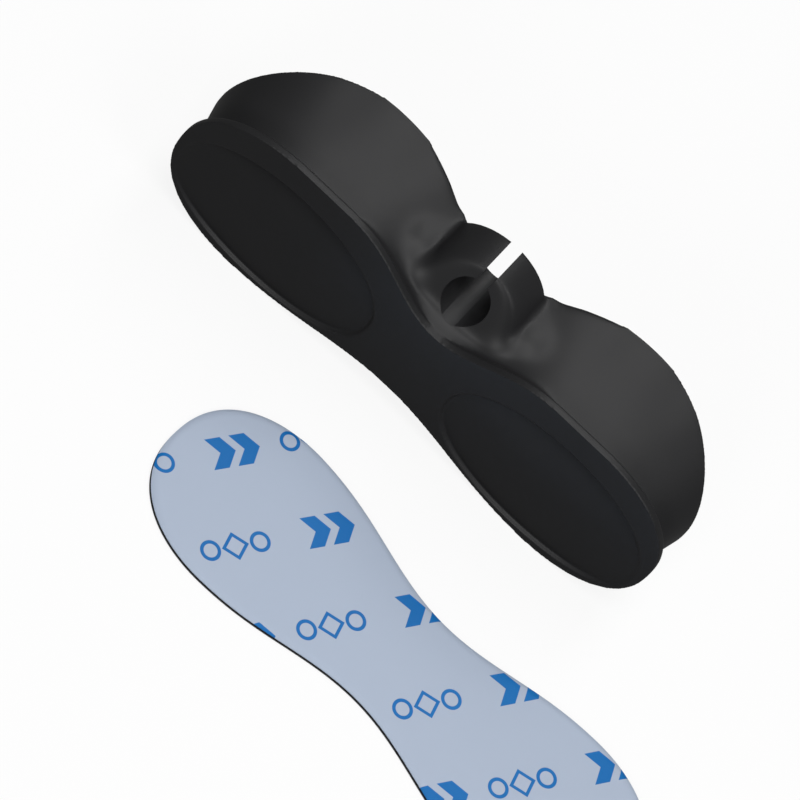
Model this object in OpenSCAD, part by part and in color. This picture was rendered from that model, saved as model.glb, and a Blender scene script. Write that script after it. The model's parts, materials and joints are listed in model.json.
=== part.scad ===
// A cord winder with a slit cable clip, and the foam pad that mounts it.
// X runs along the winder, Y from its mounting face to its front, Z up to the clip.
// The origin is the middle of the mounting face. The winder lies on its long side
// with the clip on top, and its pad lies flat in front of it.

/* [Winder] */
// Overall length
body_l = 110; // [90:1:130]
// Overall width across the lobes
body_w = 35.4; // [30:0.2:40]
// Depth from the mounting face to the highest point of the wings
wing_d = 23.6; // [20:0.2:28]
// Depth at the two tips
tip_d = 11.7; // [9:0.1:14]
// Depth of the front face on the centre line of a lobe
lobe_floor_d = 15.6; // [14:0.1:18]
// Depth of the front face in the middle of the waist
waist_floor_d = 13.6; // [12:0.1:15]
// Width of the land along the wings' edges
rim_w = 1.5; // [1:0.1:2.5]

/* [Mounting lip] */
// Thickness of the lip at its edge
lip_t = 1.4; // [1:0.1:2]
// How far the lip stands out past the core at the lobes
lip_reach = 3.9; // [2:0.1:5]
// How far the lip stands out past the core at the tips
tip_reach = 1.9; // [1.5:0.1:3]
// Depth at which the lip's tapered back meets the core
channel_d = 3.6; // [3:0.1:5]
// Waist of the mounting face, from the centre line to the clip side
waist_clip_side = 8.6; // [7.5:0.1:9.4]
// Waist of the mounting face, from the centre line to the plain side
waist_plain_side = 12; // [10:0.1:13]
// Waist of the wings' edges, from the centre line to either side
waist_wing = 13; // [11:0.1:14]
// Waist of the core, from the centre line to either side
waist_core = 7.6; // [6:0.1:8.5]

/* [Outline] */
// Distance from a tip to where the mounting face's rounded end starts
end_run = 21.5; // [18:0.5:26]
// Distance from a tip to where the wings' rounded end starts
wing_end_run = 24; // [18:0.2:26]
// Distance from the middle to where the clip side's waist ends
waist_run_clip = 28; // [24:0.5:34]
// Distance from the middle to where the plain side's waist ends
waist_run_plain = 42; // [32:0.5:44]

/* [Pockets] */
// Width of the edge left outside a pocket
pocket_edge = 1.5; // [1.2:0.1:2.5]
// Distance between the two pockets
pocket_gap = 18.6; // [14:0.2:24]
// Width of the face left above a pocket, towards the clip
pocket_top_edge = 6.3; // [4:0.1:9]
// Depth of a pocket along its lower side
pocket_low_d = 0.8; // [0.6:0.1:1.2]
// Depth of a pocket along its upper side
pocket_high_d = 1.7; // [1:0.1:2]
// Depth that a pocket runs out to at the winder's tip
pocket_tip_d = 0.4; // [0.3:0.1:0.8]
// How far the pocket's pillow-shaped floor stays below the face at its middle
pillow_gap = 0.1; // [0.1:0.1:0.3]

/* [Clip] */
// Bore that holds the cable
bore_d = 8.6; // [6:0.1:9.6]
// Height of the bore's centre above the lip's waist
bore_rise = 5.1; // [4.9:0.1:6.5]
// Width of the slit that the cable is pushed through
slit_w = 2.6; // [1.5:0.1:4]
// Radius of the clip ring's outline
ring_r = 11.1; // [9.5:0.1:12]
// How far the clip ring's centre lies below the bore's
ring_drop = 4.3; // [3.5:0.1:5]
// Depth at which the ring's near face starts, below the bore
ring_near_d = 4.3; // [4:0.1:6]
// How far the near face leans back for each millimetre of height
ring_lean = 0.5; // [0.2:0.05:0.6]
// Depth of the ring's flat far face
ring_far_d = 17.6; // [16.4:0.1:20]
// Radius that the ring narrows to at the lip
cone_r = 7.2; // [6.4:0.1:9]
// Depth at which the ring reaches its full radius
cone_end_d = 11; // [8:0.5:14]
// Radius that the shoulders beside the ring flare out to
shoulder_r = 15.5; // [12:0.1:17]
// Depth at which the shoulders reach that radius
shoulder_d = 12.6; // [11.5:0.1:14]
// Height of the shoulders' tops above the ring's centre
shoulder_rise = 5.1; // [3:0.1:6]
// How fast the shoulders' tops rise for each millimetre of depth
shoulder_slope = 0.7; // [0.4:0.05:1]

/* [Pad] */
// Thickness of the foam
foam_t = 1; // [0.5:0.1:2]
// Thickness of a release liner
liner_t = 0.15; // [0.1:0.01:0.3]
// How far the pad stays inside the mounting face's outline
pad_inset = 0.2; // [0:0.1:1]
// Half width of the pad's waist
pad_waist = 11.6; // [10:0.1:13]
// Place of the pad's middle to the side of the winder
pad_x = 34; // [20:1:50]
// Place of the pad's middle in front of the mounting face
pad_y = -36; // [-60:1:-30]
// Turn of the pad away from the winder's direction
pad_turn = -3; // [-10:1:10]

/* [Hidden] */

// Sides of an outline, all the way round
sides = 240;
// Strips across one half of the front face
strips = 6;
// Squareness of an outline's rounded ends
end_power = 2.3;
// Fullness of their tips, where 0.5 is an ellipse's
tip_power = 0.435;
// How steeply a waist swells to the lobes
swell_power = 4;
// Small overlap that keeps a cut clear of a face
eps = 0.5;

half_l = body_l / 2;
half_w = body_w / 2;
core_half_l = half_l - tip_reach;
core_half_w = half_w - lip_reach;
wing_rise = wing_d - tip_d;
wing_arc_r = (half_w * half_w + wing_rise * wing_rise) / (2 * wing_rise);
rim_share = rim_w / half_w;
bed_z = -half_w;
pocket_half_l = (half_l - pocket_edge - pocket_gap / 2) / 2;
pocket_x = pocket_gap / 2 + pocket_half_l;
pocket_low = -half_w + pocket_edge;
pocket_high = half_w - pocket_top_edge;
pocket_z = (pocket_low + pocket_high) / 2;
bore_z = waist_clip_side + bore_rise;
ring_z = bore_z - ring_drop;
pocket_sides = 72;
// Squareness of a pocket's lower side
low_side_power = 0.75;
pillow_rings = 5;

// Half width at x of a two-lobed outline: a waist that swells to the lobes,
// and rounded ends that close it at half_len
function swell(x, run) = pow(max(0, 1 - pow(x / run, 2)), swell_power);
function closing(x, half_len, ends) =
    pow(max(0, 1 - pow(max(0, abs(x) - half_len + ends) / ends, end_power)), tip_power);
function half_width(x, half_len, lobe, waist, run, ends) =
    (lobe - (lobe - waist) * swell(x, run)) * closing(x, half_len, ends);

function turn(i) = 360 * i / sides;
function along(i, half_len) = half_len * cos(turn(i));

// Edges of the mounting face at x, on the clip side and on the plain side
function clip_side(x) =
    half_width(x, half_l, half_w, waist_clip_side, waist_run_clip, end_run);
function plain_side(x) =
    -half_width(x, half_l, half_w, waist_plain_side, waist_run_plain, end_run);

// Height above the centre line of each outline's point i
function face_z(i) =
    let (x = along(i, half_l))
    sin(turn(i)) >= 0 ? clip_side(x) : plain_side(x);
function core_z(i) =
    let (x = along(i, core_half_l))
    let (h = half_width(x, core_half_l, core_half_w, waist_core, waist_run_clip, end_run))
    sin(turn(i)) >= 0 ? h : -h;
function wing_z(i) =
    let (x = along(i, half_l))
    let (h = half_width(x, half_l, half_w, waist_wing, waist_run_clip, wing_end_run))
    sin(turn(i)) >= 0 ? h : -h;

// Depth of the wings' edge, on an arc that is deepest at the lobes' sides
function edge_y(z) = tip_d + wing_arc_r - sqrt(pow(wing_arc_r, 2) - z * z);

// Depth of the front face on the centre line
function floor_y(x) =
    let (t = abs(x) / half_l)
    let (lobe_at = 1 - end_run / half_l)
    t < lobe_at
        ? lobe_floor_d - (lobe_floor_d - waist_floor_d) * pow(1 - pow(t / lobe_at, 2), 2)
        : tip_d + (lobe_floor_d - tip_d) * (1 - pow((t - lobe_at) / (1 - lobe_at), 2));

function face_ring(y) = [for (i = [0 : sides - 1]) [along(i, half_l), y, face_z(i)]];
function core_ring(y) = [for (i = [0 : sides - 1]) [along(i, core_half_l), y, core_z(i)]];
function wing_ring() =
    [for (i = [0 : sides - 1]) [along(i, half_l), edge_y(wing_z(i)), wing_z(i)]];

// Inner rows of the front face, from the land inwards: row k keeps x and runs at
// a share of the height that shrinks to the centre line
function row_share(k) = (1 - rim_share) * (strips - k) / strips;
function front_point(i, k) =
    let (z = wing_z(i), x = along(i, half_l), share = row_share(k))
    let (depth = pow(share / (1 - rim_share), 2))
    [x, floor_y(x) + (edge_y(z) - floor_y(x)) * depth, z * share];
function front_row(k) = [for (i = [0 : sides - 1]) front_point(i, k)];

// Faces between two rings of n points that start at a and b
function band(a, b, n) = [for (i = [0 : n - 1]) let (j = (i + 1) % n)
    each [[a + i, a + j, b + j], [a + i, b + j, b + i]]];

// Faces across a closed outline whose point i lies opposite point n - i
function across(a, n) = [for (i = [1 : n / 2 - 2]) let (j = i + 1)
    each [[a + i, a + j, a + n - j], [a + i, a + n - j, a + n - i]]];
function across_ends(a, n) = [[a, a + 1, a + n - 1],
    [a + n / 2, a + n / 2 + 1, a + n / 2 - 1]];
function flipped(faces) = [for (f = faces) [f[2], f[1], f[0]]];

// The moulding without its pockets and clip
module spool() {
    rings = [face_ring(0), face_ring(lip_t), core_ring(channel_d), wing_ring(),
        for (k = [0 : strips - 1]) front_row(k)];
    points = [for (ring = rings) each ring];
    last = (len(rings) - 1) * sides;
    walls = [for (r = [0 : len(rings) - 2]) each band(r * sides, (r + 1) * sides, sides)];
    near = concat(across(0, sides), across_ends(0, sides));
    far = concat(across(last, sides), across_ends(last, sides));
    polyhedron(points = points, faces = concat(walls, near, flipped(far)), convexity = 6);
}

// Outline of a pocket about its middle: an oval, squarer on its lower side, that keeps
// its edge inside the mounting face
function pocket_point(i) =
    let (a = 360 * i / pocket_sides, x = pocket_half_l * cos(a))
    let (rise = sin(a) >= 0 ? sin(a) : -pow(-sin(a), low_side_power))
    let (z = pocket_z + (pocket_high - pocket_z) * rise)
    let (high = clip_side(pocket_x + x) - pocket_edge)
    let (low = plain_side(pocket_x + x) + pocket_edge)
    [x, max(low, min(high, z)) - pocket_z];
// Depth of the floor's edge at outline point i: deepest on the upper side, and running
// out towards the winder's tip
function floor_edge_y(i) =
    let (a = 360 * i / pocket_sides)
    let (d = pocket_low_d + (pocket_high_d - pocket_low_d) * (1 + sin(a)) / 2)
    d - (d - pocket_tip_d) * pow(max(0, cos(a)), 3);
// Point i of the floor's ring at this share of the outline
function floor_point(i, share) =
    let (p = pocket_point(i), y = pillow_gap + (floor_edge_y(i) - pillow_gap) * share * share)
    [p[0] * share, y, p[1] * share];

// The space of one pocket, with its floor bulging towards the face
module pocket() {
    shares = [for (r = [0 : pillow_rings - 1]) 1 - r / pillow_rings];
    points = [for (i = [0 : pocket_sides - 1]) let (p = pocket_point(i)) [p[0], -eps, p[1]],
        for (s = shares) each [for (i = [0 : pocket_sides - 1]) floor_point(i, s)],
        [0, -eps, 0], [0, pillow_gap, 0]];
    front = len(points) - 2;
    back = len(points) - 1;
    last = pillow_rings * pocket_sides;
    walls = [for (r = [0 : pillow_rings - 1])
        each band(r * pocket_sides, (r + 1) * pocket_sides, pocket_sides)];
    caps = [for (i = [0 : pocket_sides - 1]) let (j = (i + 1) % pocket_sides)
        each [[front, j, i], [back, last + i, last + j]]];
    translate([pocket_x, 0, pocket_z])
        polyhedron(points = points, faces = concat(walls, caps), convexity = 4);
}

// A round block behind the lip: a cone that opens from cone_r to r at depth d
module flared_block(r, d) {
    translate([0, ring_far_d, ring_z]) rotate([90, 0, 0]) union() {
        cylinder(r = r, h = ring_far_d - d, $fn = 96);
        translate([0, 0, ring_far_d - d])
            cylinder(r1 = r, r2 = cone_r, h = d - lip_t, $fn = 96);
    }
}

// A bar across the winder, whose section has these points of depth and height
module cross_bar(section) {
    translate([-half_l, 0, 0]) rotate([90, 0, 90])
        linear_extrude(height = body_l) polygon(section);
}

// The clip ring, with a near face that leans back
module clip_ring() {
    top = ring_z + ring_r + eps;
    lean_z = bore_z - bore_d / 2;
    near_top = ring_near_d + ring_lean * (top - lean_z);
    intersection() {
        flared_block(ring_r, cone_end_d);
        cross_bar([[lip_t, -top], [lip_t, waist_clip_side], [ring_near_d, lean_z],
            [near_top, top], [ring_far_d, top], [ring_far_d, -top]]);
    }
}

// The shoulders that fill the corners between the ring and the wings
module clip_shoulders() {
    top = ring_z + shoulder_rise;
    foot = top - shoulder_slope * (shoulder_d - lip_t);
    intersection() {
        flared_block(shoulder_r, shoulder_d);
        cross_bar([[lip_t, -waist_core], [lip_t, foot], [shoulder_d, top],
            [shoulder_d + shoulder_rise, top], [shoulder_d + shoulder_rise, -waist_core]]);
    }
}

module winder_body() {
    color([0.16, 0.16, 0.165]) difference() {
        union() {
            spool();
            clip_ring();
            clip_shoulders();
        }
        pocket();
        mirror([1, 0, 0]) pocket();
        translate([0, wing_d, bore_z]) rotate([90, 0, 0])
            cylinder(d = bore_d, h = wing_d, $fn = 64);
        translate([-slit_w / 2, 0, bore_z]) cube([slit_w, wing_d, ring_r + ring_z]);
    }
}

// Outline of the pad
function pad_point(i) =
    let (reach = half_l - pad_inset, x = reach * cos(turn(i)))
    let (h = half_width(x, reach, half_w - pad_inset, pad_waist, waist_run_plain, end_run))
    [x, sin(turn(i)) >= 0 ? h : -h];

module pad_sheet(from, thick) {
    translate([pad_x, pad_y, bed_z + from]) rotate([0, 0, pad_turn])
        linear_extrude(height = thick) polygon([for (i = [0 : sides - 1]) pad_point(i)]);
}

module back_liner() { color([0.85, 0.85, 0.8]) pad_sheet(0, liner_t); }
module foam_pad() { color([0.08, 0.08, 0.08]) pad_sheet(liner_t, foam_t); }
module printed_liner() { color([0.72, 0.76, 0.84]) pad_sheet(liner_t + foam_t, liner_t); }

winder_body();
foam_pad();
printed_liner();
back_liner();
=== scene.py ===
import json
import math

import bpy
import numpy as np
from mathutils import Matrix, Vector


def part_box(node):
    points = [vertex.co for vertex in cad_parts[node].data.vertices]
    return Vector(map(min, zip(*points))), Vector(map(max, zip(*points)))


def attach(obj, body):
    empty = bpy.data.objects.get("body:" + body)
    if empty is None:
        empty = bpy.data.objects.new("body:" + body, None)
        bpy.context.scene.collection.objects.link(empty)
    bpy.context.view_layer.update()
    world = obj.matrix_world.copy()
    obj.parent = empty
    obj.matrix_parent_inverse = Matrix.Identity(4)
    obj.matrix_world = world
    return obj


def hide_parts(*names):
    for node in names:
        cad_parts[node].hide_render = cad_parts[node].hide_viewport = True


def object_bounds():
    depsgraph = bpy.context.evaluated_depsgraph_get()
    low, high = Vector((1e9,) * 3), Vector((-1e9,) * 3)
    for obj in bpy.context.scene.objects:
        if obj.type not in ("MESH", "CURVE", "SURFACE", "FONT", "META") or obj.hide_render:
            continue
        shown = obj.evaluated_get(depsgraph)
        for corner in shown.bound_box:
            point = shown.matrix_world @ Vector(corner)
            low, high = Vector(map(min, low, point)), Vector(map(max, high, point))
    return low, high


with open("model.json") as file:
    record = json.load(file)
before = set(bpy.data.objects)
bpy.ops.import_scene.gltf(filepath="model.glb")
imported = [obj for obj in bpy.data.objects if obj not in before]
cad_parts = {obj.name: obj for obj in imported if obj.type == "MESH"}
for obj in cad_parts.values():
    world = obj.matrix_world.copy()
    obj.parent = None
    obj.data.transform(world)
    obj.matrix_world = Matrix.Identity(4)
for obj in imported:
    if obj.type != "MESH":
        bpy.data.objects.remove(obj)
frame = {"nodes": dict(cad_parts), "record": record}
cad_low, cad_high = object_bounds()
nodes = frame["nodes"]
mounts = {mount["name"]: mount for mount in frame["record"]["mounts"]}
MM = 0.001

# The camera looks down at the mounting face through a long lens. It is rolled, so that
# the winder runs from the upper left of the picture to the lower right.
camera_elevation = math.radians(55.8)
camera_roll = math.radians(43.35)
camera_distance = 1.1
picture_width = 137.5 * MM
picture_centre = Vector((3.38, -4.22, -5.96)) * MM

sight = Vector((0, -math.cos(camera_elevation), math.sin(camera_elevation)))
level = Vector((1, 0, 0))
rise = Vector((0, math.sin(camera_elevation), math.cos(camera_elevation)))
right = math.cos(camera_roll) * level + math.sin(camera_roll) * rise
upward = -math.sin(camera_roll) * level + math.cos(camera_roll) * rise
turned = Matrix((right, upward, sight)).transposed().to_4x4()
bpy.ops.object.camera_add()
camera = bpy.context.object
camera.data.sensor_width = 36.0
camera.data.lens = camera.data.sensor_width * camera_distance / picture_width
camera.data.clip_end = 20.0
camera.matrix_world = Matrix.Translation(picture_centre + sight * camera_distance) @ turned
bpy.context.scene.camera = camera
bpy.context.scene.view_settings.view_transform = "Standard"


# The studio is a white table top under five soft lamps and a faint sky. Most of the light
# comes from above, so the winder's long walls are light and its mounting face is darker.
class Socket:
    """A socket of a material's nodes, with arithmetic."""

    def __init__(self, tree, link=None):
        self.tree = tree
        self.link = link

    def node(self, kind, settings=None, inputs=None, output=0):
        made = self.tree.nodes.new("ShaderNode" + kind)
        for name, value in (settings or {}).items():
            setattr(made, name, value)
        for name, value in (inputs or {}).items():
            if isinstance(value, Socket):
                self.tree.links.new(value.link, made.inputs[name])
            else:
                made.inputs[name].default_value = value
        return Socket(self.tree, made.outputs[output] if made.outputs else None)

    def math(self, operation, *others):
        values = dict(enumerate((self, *others)))
        return self.node("Math", {"operation": operation}, values)

    def __add__(self, other):
        return self.math("ADD", other)

    __radd__ = __add__

    def __mul__(self, other):
        return self.math("MULTIPLY", other)

    __rmul__ = __mul__

    def __sub__(self, other):
        return self.math("SUBTRACT", other)

    def __rsub__(self, other):
        return self.math("MULTIPLY", -1.0) + other

    def __truediv__(self, other):
        return self.math("DIVIDE", other)


def new_material(name):
    """A material without nodes, and a first socket to build them from."""
    material = bpy.data.materials.new(name)
    material.use_nodes = True
    material.node_tree.nodes.clear()
    return material, Socket(material.node_tree)


def rgb(red, green, blue):
    return (red, green, blue, 1.0)


def seen_white(start):
    """1 to the camera, which sees a white studio, and a small share to reflections."""
    to_camera = start.node("LightPath", output=0)
    to_gloss = start.node("LightPath", output=3)
    to_glass = start.node("LightPath", output=6)
    return to_camera + shine_share * (to_gloss + to_glass)


table_size = 6.0
table_colour = rgb(0.1, 0.1, 0.1)
white = rgb(1.0, 1.0, 1.0)
shadow_share = 0.12
shine_share = 0.1

bpy.ops.mesh.primitive_plane_add(size=table_size, location=(0, 0, cad_low.z))
table_top = bpy.context.object
table_top.name = "table_top"
table_paint, start = new_material("table_paint")
lit = start.node("BsdfDiffuse", inputs={"Color": table_colour})
lit_white = start.node("BsdfDiffuse", inputs={"Color": white})
plain_white = start.node("Emission", inputs={"Color": white, "Strength": 1.0})
seen = start.node("MixShader", inputs={0: shadow_share, 1: plain_white, 2: lit_white})
top = start.node("MixShader", inputs={0: seen_white(start), 1: lit, 2: seen})
start.node("OutputMaterial", inputs={"Surface": top})
table_top.data.materials.append(table_paint)

sky_strength = 0.04
bpy.context.scene.world = bpy.data.worlds.new("studio_air")
bpy.context.scene.world.use_nodes = True
air = bpy.context.scene.world.node_tree
air.nodes.clear()
start = Socket(air)
strength = sky_strength + (1 - sky_strength) * seen_white(start)
glow = start.node("Background", inputs={"Color": white, "Strength": strength})
start.node("OutputWorld", inputs={"Surface": glow})


def soft_lamp(name, place, size, power):
    """A square lamp that faces the winder, with its place and size in metres."""
    bpy.ops.object.light_add(type="AREA", location=place)
    lamp = bpy.context.object
    lamp.name = name
    lamp.data.size = size
    lamp.data.energy = power
    lamp.rotation_euler = (-Vector(place)).to_track_quat("-Z", "Y").to_euler()


soft_lamp("overhead_lamp", (0, 0.266, 1.067), 0.4, 1.9)
soft_lamp("back_lamp", (0, 0.63, 0.9), 0.4, 2.0)
soft_lamp("top_front_lamp", (0, -0.34, 1.046), 0.4, 3.4)
soft_lamp("low_front_lamp", (0, -0.866, 0.5), 0.3, 2.6)
soft_lamp("right_lamp", (0.6, -0.22, 0.77), 0.4, 2.2)


# The winder body is moulded in one piece of soft black silicone: a mounting lip with two
# shallow pockets, a waisted core, two flared wings and a slit clip on its long side.
# The clip grows out of the walls in wide soft fillets, and every edge is slightly round.
round_sides = 128
edge_width = 0.3 * MM
grain_size = 0.2 * MM
triangle_budget = 180000
ring_radius = 11.1 * MM
ring_drop = 4.3 * MM
ring_neck_radius = 9.7 * MM
ring_full_depth = 11.0 * MM
ring_far_depth = 17.6 * MM
lip_thickness = 1.4 * MM
near_face_lean = math.atan(0.5)
slit_width = 2.6 * MM
pocket_middle = (31.4, -2.4)
pocket_half = (22.1, 13.8)
bore = mounts["cable_bore"]
bore_radius = bore["dims"]["r_mm"] * MM
bore_centre = Vector(bore["pos_m"])
ring_z = bore_centre.z - ring_drop
near_depth = bore_centre.y - bore["dims"]["length_mm"] * MM / 2


def select_only(thing):
    bpy.ops.object.select_all(action="DESELECT")
    thing.select_set(True)
    bpy.context.view_layer.objects.active = thing


def apply_modifier(thing, kind, **settings):
    """Adds a modifier and applies it."""
    select_only(thing)
    modifier = thing.modifiers.new(kind, kind)
    for name, value in settings.items():
        setattr(modifier, name, value)
    bpy.ops.object.modifier_apply(modifier=modifier.name)


def copy_of(node, name):
    """A new object with a merged copy of a node's mesh."""
    thing = bpy.data.objects.new(name, nodes[node].data.copy())
    thing.data.materials.clear()
    bpy.context.collection.objects.link(thing)
    select_only(thing)
    bpy.ops.object.mode_set(mode="EDIT")
    bpy.ops.mesh.select_all(action="SELECT")
    bpy.ops.mesh.remove_doubles(threshold=0.001 * MM)
    bpy.ops.object.mode_set(mode="OBJECT")
    return thing


def along_y(radius, near, far, z, end_radius=None):
    """A closed round bar along Y, from near to far."""
    bpy.ops.mesh.primitive_cone_add(
        vertices=round_sides, radius1=radius, radius2=end_radius or radius,
        depth=far - near,
        location=(0, (near + far) / 2, z), rotation=(math.radians(-90), 0, 0))
    bpy.ops.object.transform_apply()
    return bpy.context.object


def joined(*things):
    select_only(things[0])
    for thing in things[1:]:
        thing.select_set(True)
    bpy.ops.object.join()
    return things[0]


# The clip ring before its bore and slit are cut, with the near face that leans back
drum = along_y(ring_radius, ring_full_depth, ring_far_depth, ring_z)
neck = along_y(ring_neck_radius, lip_thickness, ring_full_depth, ring_z, ring_radius)
for part in (drum, neck):
    select_only(part)
    bpy.ops.object.mode_set(mode="EDIT")
    bpy.ops.mesh.select_all(action="SELECT")
    bpy.ops.mesh.bisect(
        plane_co=(0, near_depth, bore_centre.z - bore_radius),
        plane_no=(0, math.cos(near_face_lean), -math.sin(near_face_lean)),
        use_fill=True, clear_inner=True)
    bpy.ops.object.mode_set(mode="OBJECT")

moulding = copy_of("winder_body", "winder_moulding")
apply_modifier(moulding, "DECIMATE", decimate_type="DISSOLVE",
               angle_limit=math.radians(0.5))
apply_modifier(moulding, "BEVEL", width=edge_width, segments=4, limit_method="ANGLE",
               angle_limit=math.radians(30))

# Lumps that fill the corners between ring and wings, as centre and half sizes on one side,
# and the oval plugs that close a pocket, as margin round it and depth. All are in mm.
web_lumps = (
    ((13.0, 11.8, 9.6), (5.5, 6.5, 5.2)),
    ((9.5, 9.0, 8.6), (4.5, 5.5, 4.7)))
pocket_plugs = (((0.9, 0.8), 1.35), ((0.3, 0.3), 2.0))


def blob(place, size):
    """A smooth lump, as centre and half sizes."""
    bpy.ops.mesh.primitive_uv_sphere_add(
        segments=64, ring_count=32, radius=1.0, scale=size, location=place)
    bpy.ops.object.transform_apply()
    return bpy.context.object


def plug(place_x, margin, depth):
    """An oval plug in a pocket's place, that the finished floor is then pressed into."""
    bpy.ops.mesh.primitive_cylinder_add(
        vertices=round_sides, radius=1.0, depth=depth * MM,
        rotation=(math.radians(90), 0, 0),
        location=(place_x * MM, depth * MM / 2, pocket_middle[1] * MM),
        scale=((pocket_half[0] + margin[0]) * MM, (pocket_half[1] + margin[1]) * MM, 1.0))
    bpy.ops.object.transform_apply()
    return bpy.context.object


extras = []
for side in (-1, 1):
    for centre, size in web_lumps:
        extras.append(blob([side * centre[0] * MM, centre[1] * MM, centre[2] * MM],
                           [length * MM for length in size]))
    for margin, depth in pocket_plugs:
        extras.append(plug(side * pocket_middle[0], margin, depth))
moulding = joined(moulding, drum, neck, *extras)
apply_modifier(moulding, "REMESH", mode="VOXEL", voxel_size=grain_size)


def eased(low, high, values):
    """0 below low, 1 above high, and a smooth rise between them."""
    share = np.clip((values - low) / (high - low), 0, 1)
    return share * share * (3 - 2 * share)


def weigh(thing, name, weights, levels=12):
    """A vertex group with these weights, rounded to a few levels."""
    group = thing.vertex_groups.new(name=name)
    steps = np.rint(weights * levels).astype(int)
    for step in range(1, levels + 1):
        members = np.flatnonzero(steps == step)
        if len(members):
            group.add([int(member) for member in members], step / levels, "REPLACE")


places = np.empty(len(moulding.data.vertices) * 3)
moulding.data.vertices.foreach_get("co", places)
x, y, z = places.reshape(-1, 3).T / MM

# The pockets are pressed into the plugs, in mm. A floor bulges a little in its middle,
# tilts up more and more towards its upper edge, and gets shallower at the winder's tip.
skin_depth = 0.3
lower_squareness = 0.75
middle_depth, edge_depth = 0.1, 0.8
scoop_depth = 1.2
scoop_start = 0.1
tip_loss = 0.75
step_width = 0.3
skin = np.flatnonzero(
    (abs(y) < skin_depth) & (abs(x) > pocket_middle[0] - pocket_half[0]))
aside = (abs(x[skin]) - pocket_middle[0]) / pocket_half[0]
above = (z[skin] - pocket_middle[1]) / pocket_half[1]
roundness = np.where(above > 0, 2.0, 2.0 / lower_squareness)

# Each point's share of the way from the pocket's middle to its edge, found by halving
low, high = np.full(len(skin), 0.01), np.full(len(skin), 3.0)
for step in range(22):
    share = (low + high) / 2
    outside = (abs(aside) / share) ** 2 + (abs(above) / share) ** roundness > 1
    low, high = np.where(outside, share, low), np.where(outside, high, share)
from_edge = (1 - share) / share * np.hypot(aside * pocket_half[0], above * pocket_half[1])
bow = np.sqrt(np.clip(1 - aside ** 2, 0, 1))
climb = np.clip((above + scoop_start) / (1 + scoop_start), 0, 1)
floor = middle_depth + (edge_depth - middle_depth) * share ** 2
floor = floor + scoop_depth * climb ** 2 * bow
tip_fade = 1 - tip_loss * np.clip(aside, 0, 1) ** 3
y[skin] += floor * tip_fade * eased(0, step_width, from_edge)

# The wings' crests are rounder than a plain sweep of the outline. Each shoulder of a crest
# is drawn in by its depth, at its place along the winder, over its width, all in mm.
crest_shoulders = ((0.36, 22, 4.2), (0.32, 37.5, 5))
inward_share = 0.6
behind_lip = eased(4, 20, y) * np.sign(z) * eased(8, 16, abs(z))
crest = sum(depth * np.exp(-((abs(x) - place) / width) ** 2)
            for depth, place, width in crest_shoulders)
y -= inward_share * crest * abs(behind_lip)
z -= crest * behind_lip
moulding.data.vertices.foreach_set("co", (np.stack((x, y, z), axis=1) * MM).ravel())

# All of the skin is smoothed a little, and the surroundings of the clip a great deal, to
# make its wide fillets. The two ears of the ring keep most of their shape.
ears_keep = 0.9
skin_smoothing = 6
fillet_smoothing = 560
above_axis = z - ring_z / MM
from_axis = np.hypot(x, above_axis)
on_ears = eased(2, 6, above_axis) * (1 - eased(11.5, 13.5, from_axis)) * eased(7, 10, y)
near_clip = (1 - eased(17, 24, abs(x))) * eased(1.6, 3.4, y) * eased(3, 7, z)
weigh(moulding, "clip_fillets", near_clip * (1 - ears_keep * on_ears))
apply_modifier(moulding, "SMOOTH", factor=0.5, iterations=skin_smoothing)
apply_modifier(moulding, "SMOOTH", factor=0.5, iterations=fillet_smoothing,
               vertex_group="clip_fillets")
triangles = 2 * len(moulding.data.polygons)
apply_modifier(moulding, "DECIMATE", ratio=triangle_budget / triangles)

# The bore is cut right through, and the slit from the bore's axis up through the ring
cut_near, cut_far, slit_height = -10 * MM, 30 * MM, 20 * MM
bore_cutter = along_y(bore_radius, cut_near, cut_far, bore_centre.z)
bpy.ops.mesh.primitive_cube_add(
    size=1.0, location=(0, (cut_near + cut_far) / 2, bore_centre.z + slit_height / 2))
slit_cutter = bpy.context.object
slit_cutter.dimensions = (slit_width, cut_far - cut_near, slit_height)
select_only(slit_cutter)
bpy.ops.object.transform_apply()
for cutter in (bore_cutter, slit_cutter):
    apply_modifier(moulding, "BOOLEAN", operation="DIFFERENCE", object=cutter,
                   solver="EXACT")
    bpy.data.objects.remove(cutter)
select_only(moulding)
bpy.ops.object.shade_smooth_by_angle(angle=math.radians(40))

rubber, start = new_material("black_silicone")
where = start.node("TexCoord", output=3)
mottle = start.node("TexNoise", inputs={"Vector": where, "Scale": 60.0, "Detail": 3.0})
grain = start.node("TexNoise", inputs={"Vector": where, "Scale": 5200.0, "Detail": 2.0})
colour = start.node("Mix", {"data_type": "RGBA"}, {
    0: mottle, 6: rgb(0.016, 0.016, 0.017), 7: rgb(0.02, 0.02, 0.021)}, output=2)
grain_bump = start.node("Bump", inputs={
    "Height": grain, "Strength": 0.12, "Distance": 0.05 * MM})
rubber_shader = start.node("BsdfPrincipled", inputs={
    "Base Color": colour, "Roughness": 0.41 + 0.06 * mottle, "Normal": grain_bump,
    "IOR": 1.5, "Specular IOR Level": 0.3})
start.node("OutputMaterial", inputs={"Surface": rubber_shader})
moulding.data.materials.append(rubber)
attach(moulding, "root")
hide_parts("winder_body")


# The foam pad is a die-cut sheet of black closed-cell foam with adhesive on both faces.
# The cutting die has pinched its edge, so its rim sinks a little on the upper side.
# A rim step is a width in mm and its share of the sink.
rim_sink = 0.4 * MM
rim_steps = ((0.35, 0.5), (0.45, 0.33), (0.7, 0.17))


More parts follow.
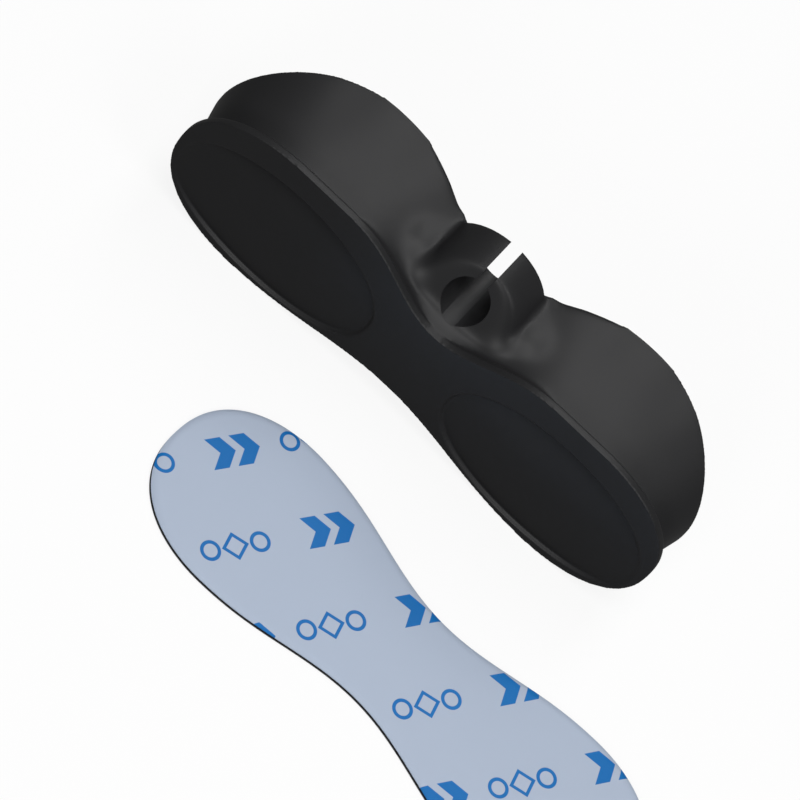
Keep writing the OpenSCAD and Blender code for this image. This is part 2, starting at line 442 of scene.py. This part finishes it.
def sunk_rim(thing, facing):
    """Lets the rim of the faces that point up (1) or down (-1) sink in soft steps."""
    select_only(thing)
    bpy.ops.object.mode_set(mode="EDIT")
    bpy.ops.mesh.select_mode(type="FACE")
    bpy.ops.mesh.select_all(action="DESELECT")
    bpy.ops.object.mode_set(mode="OBJECT")
    for face in thing.data.polygons:
        face.select = face.normal.z * facing > 0.9
    bpy.ops.object.mode_set(mode="EDIT")
    bpy.ops.transform.translate(value=(0, 0, -rim_sink))
    for width, share in rim_steps:
        bpy.ops.mesh.inset(thickness=width * MM, depth=share * rim_sink * facing)
    bpy.ops.object.mode_set(mode="OBJECT")


def pad_layer(node, name, sides):
    """A copy of a layer as large plain faces, with a sunk rim on the given sides."""
    thing = copy_of(node, name)
    apply_modifier(thing, "DECIMATE", decimate_type="DISSOLVE",
                   angle_limit=math.radians(0.1))
    for facing in sides:
        sunk_rim(thing, facing)
    select_only(thing)
    bpy.ops.object.shade_smooth_by_angle(angle=math.radians(35))
    return thing


foam = pad_layer("foam_pad", "pad_foam", (1,))
foam_black, start = new_material("black_foam")
where = start.node("TexCoord", output=3)
cells = start.node("TexVoronoi", inputs={"Vector": where, "Scale": 3500.0})
pores = start.node("Bump", inputs={"Height": cells, "Strength": 0.5, "Distance": 0.1 * MM})
foam_shader = start.node("BsdfPrincipled", inputs={
    "Base Color": rgb(0.012, 0.012, 0.013), "Roughness": 0.85, "Normal": pores})
start.node("OutputMaterial", inputs={"Surface": foam_shader})
foam.data.materials.append(foam_black)
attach(foam, "root")
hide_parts("foam_pad")


# The back liner is a plain satin release film under the foam, left on until the winder
# is fitted.
back = pad_layer("back_liner", "pad_back_liner", ())
plain_film, start = new_material("plain_release_film")
where = start.node("TexCoord", output=3)
cloudy = start.node("TexNoise", inputs={"Vector": where, "Scale": 90.0})
film_shader = start.node("BsdfPrincipled", inputs={
    "Base Color": rgb(0.72, 0.74, 0.76), "Roughness": 0.3 + 0.1 * cloudy})
start.node("OutputMaterial", inputs={"Surface": film_shader})
back.data.materials.append(plain_film)
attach(back, "root")
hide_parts("back_liner")


# The printed liner is a pale release film on top of the foam. Its blue print repeats in
# staggered rows, set at a slant to the pad: two solid chevrons, a ring, a diamond, a ring.
# The pitch of the rows and the places in a row are in mm.
print_low, print_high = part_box("printed_liner")
print_middle = (print_low + print_high) / 2
print_turn = math.radians(58)
row_pitch = 17.0
repeat = 34.0
row_stagger = 0.37
ink_edge = 0.08

printed = pad_layer("printed_liner", "pad_printed_liner", (1, -1))
printed_film, start = new_material("printed_release_film")
where = start.node("TexCoord", output=3)
on_film = start.node("Mapping", {"vector_type": "TEXTURE"}, {
    "Vector": where, "Location": print_middle, "Rotation": (0, 0, print_turn),
    "Scale": (MM, MM, MM)})
run = start.node("SeparateXYZ", inputs={"Vector": on_film}, output=0)
across = start.node("SeparateXYZ", inputs={"Vector": on_film}, output=1)
row = (across / row_pitch).math("FLOOR")
u = ((run / repeat + row * row_stagger).math("FRACT") - 0.5) * repeat
v = ((across / row_pitch).math("FRACT") - 0.5) * row_pitch
away = v.math("ABSOLUTE")


def chevron(place, half_band=1.5, half_height=2.9, slant=0.75):
    """Distance to a solid chevron that points along the row."""
    band = (u - place + away * slant).math("ABSOLUTE") - half_band
    return band.math("MAXIMUM", away - half_height)


def ring(place, radius=1.6, half_stroke=0.33):
    """Distance to a thin ring."""
    reach = ((u - place) * (u - place) + v * v).math("SQRT")
    return (reach - radius).math("ABSOLUTE") - half_stroke


def diamond(place, reach=2.2, half_stroke=0.42):
    """Distance to a thin diamond."""
    return ((u - place).math("ABSOLUTE") + away - reach).math("ABSOLUTE") - half_stroke


shapes = [chevron(-10.5), chevron(-5.8), ring(1.6), diamond(6.4), ring(11.2)]
gap = shapes[0]
for shape in shapes[1:]:
    gap = gap.math("MINIMUM", shape)
ink = (0.5 - gap / ink_edge).math("MINIMUM", 1.0).math("MAXIMUM", 0.0)

cloudy = start.node("TexNoise", inputs={"Vector": where, "Scale": 40.0})
blue = start.node("Mix", {"data_type": "RGBA"}, {
    0: cloudy, 6: rgb(0.008, 0.14, 0.45), 7: rgb(0.015, 0.2, 0.56)}, output=2)
colour = start.node("Mix", {"data_type": "RGBA"}, {
    0: ink, 6: rgb(0.47, 0.545, 0.675), 7: blue}, output=2)
film_shader = start.node("BsdfPrincipled", inputs={
    "Base Color": colour, "Roughness": 0.36 + 0.1 * cloudy, "Specular IOR Level": 0.12})
start.node("OutputMaterial", inputs={"Surface": film_shader})
printed.data.materials.append(printed_film)
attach(printed, "root")
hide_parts("printed_liner")
